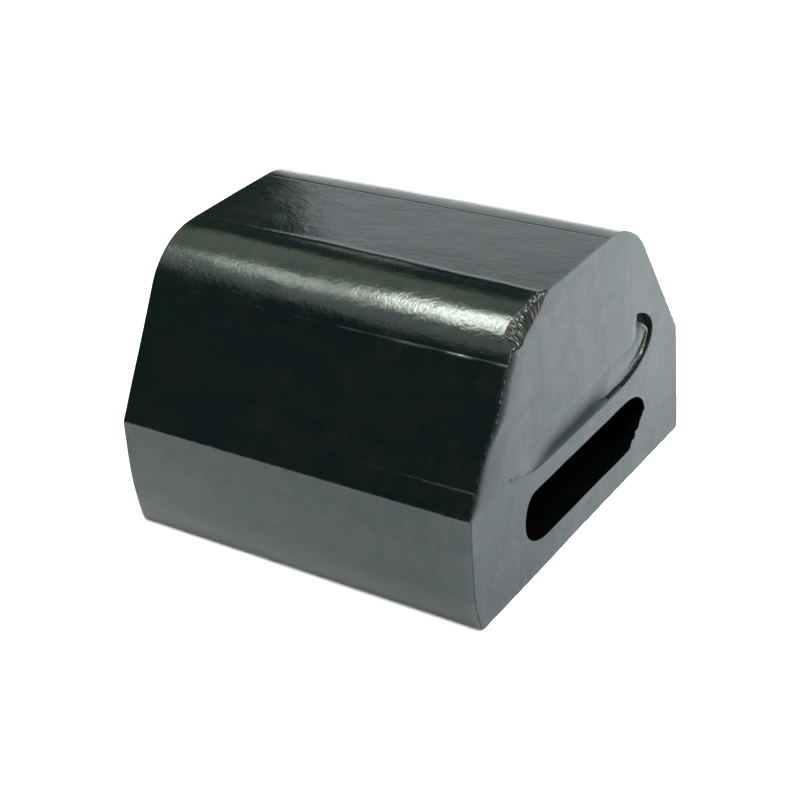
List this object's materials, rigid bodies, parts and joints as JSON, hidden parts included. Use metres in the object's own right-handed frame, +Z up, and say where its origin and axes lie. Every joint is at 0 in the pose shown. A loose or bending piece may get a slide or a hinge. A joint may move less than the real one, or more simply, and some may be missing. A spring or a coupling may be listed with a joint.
{
  "type": "rubber fender block",
  "caption": "Moulded rubber bumper block with a trapezoid section, rounded shoulders, a flat base, an open slot for a fixing bar and a plugged hollow above it.",
  "frame": {"origin": "centre of the flat base, on the surface that the block stands on", "axes": "+X along the block and its slot, -Y the front side, +Z up from the base to the contact face"},
  "size_m": [0.298, 0.3028, 0.2031],
  "materials": {
    "block_rubber": "semi-gloss moulded black rubber, saw-cut ends matt",
    "plug_rubber": "satin moulded black rubber"
  },
  "bodies": {
    "root": {"fender_body": "block_rubber", "end_plug_right": "plug_rubber", "end_plug_left": "plug_rubber"}
  },
  "joints": []
}
